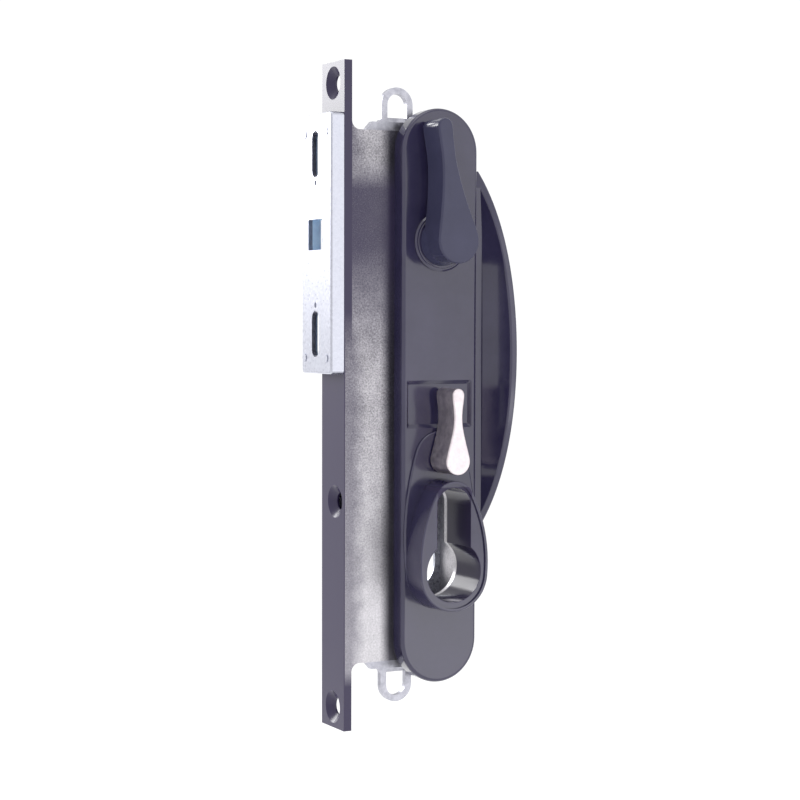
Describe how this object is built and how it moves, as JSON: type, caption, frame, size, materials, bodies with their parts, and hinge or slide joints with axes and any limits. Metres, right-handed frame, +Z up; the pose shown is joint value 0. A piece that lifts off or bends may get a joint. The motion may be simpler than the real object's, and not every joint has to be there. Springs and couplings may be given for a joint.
{
  "type": "sliding security door mortice lock with pull handle",
  "caption": "Mortice lock for a sliding security door: cast case with faceplate, pill-shaped handle plate with crescent pull, turn lever, snib, profile cylinder collar, link loops and strike.",
  "frame": {"origin": "centre of the faceplate's front, halfway between the two end screw holes", "axes": "+X into the door stile, +Z up, -Y towards the room side that the handle plate faces; the faceplate's front faces -X"},
  "size_m": [0.0569, 0.0381, 0.2032],
  "materials": {
    "black_coat": "smooth black powder coat, satin gloss",
    "raw_zinc": "raw die-cast zinc, fine grained",
    "zinc_plate": "bright zinc plated steel with a bluish tint",
    "satin_nickel": "satin nickel plated casting",
    "spring_steel": "plain steel, lightly oiled"
  },
  "bodies": {
    "case": {"lock_case": "raw_zinc", "case_cover": "zinc_plate", "cover_screws": "zinc_plate", "handle_plate": "black_coat", "plate_screws": "zinc_plate", "lever_rose": "black_coat", "hook_pivot_pin": "spring_steel", "hook_spacer": "spring_steel", "slide_guide": "raw_zinc", "lever_detent_spring": "spring_steel", "snib_detent_spring": "spring_steel"},
    "turn_lever": {"turn_lever": "black_coat", "lever_clip": "spring_steel", "lever_spindle": "zinc_plate", "lever_hub": "raw_zinc"},
    "hook": {"hook_bolt": "zinc_plate"},
    "top_link": {"top_link": "zinc_plate"},
    "bottom_link": {"bottom_link": "zinc_plate"},
    "snib": {"snib_lever": "satin_nickel", "snib_clip": "spring_steel", "snib_spindle": "zinc_plate", "snib_crank": "raw_zinc"},
    "deadlock": {"deadlock_slide": "zinc_plate"},
    "strike": {"strike_box": "zinc_plate", "strike_keeper": "spring_steel", "strike_rivets": "zinc_plate"}
  },
  "joints": [
    {"name": "lever_turn", "type": "hinge", "parent": "case", "child": "turn_lever", "pos_m": [0.03, -0.02, 0.0475], "axis": [0, -1, 0], "range_deg": [-8, 82]},
    {"name": "hook_swing", "type": "hinge", "parent": "case", "child": "hook", "pos_m": [0.009, 0.0033, 0.028], "axis": [0, -1, 0], "range_deg": [-2.6, 25.6]},
    {"name": "top_link_slide", "type": "slide", "parent": "case", "child": "top_link", "axis": [0, 0, 1], "range_m": [-0.001, 0.01007]},
    {"name": "bottom_link_slide", "type": "slide", "parent": "case", "child": "bottom_link", "axis": [0, 0, -1], "range_m": [-0.001, 0.01007]},
    {"name": "snib_turn", "type": "hinge", "parent": "case", "child": "snib", "pos_m": [0.03, -0.02, -0.0191], "axis": [0, -1, 0], "range_deg": [-25, 25]},
    {"name": "deadlock_move", "type": "slide", "parent": "case", "child": "deadlock", "axis": [-1, 0, 0], "range_m": [-0.00351, 0.00351]},
    {"name": "strike_lift_off", "type": "slide", "parent": "case", "child": "strike", "axis": [-1, 0, 0], "range_m": [0, 0.03]}
  ],
  "couplings": [
    {"joint": "hook_swing", "follows": "lever_turn", "ratio": 0.31111},
    {"joint": "top_link_slide", "follows": "lever_turn", "m_per_rad": 0.0070225},
    {"joint": "bottom_link_slide", "follows": "lever_turn", "m_per_rad": 0.0070225},
    {"joint": "deadlock_move", "follows": "snib_turn", "m_per_rad": 0.008}
  ]
}
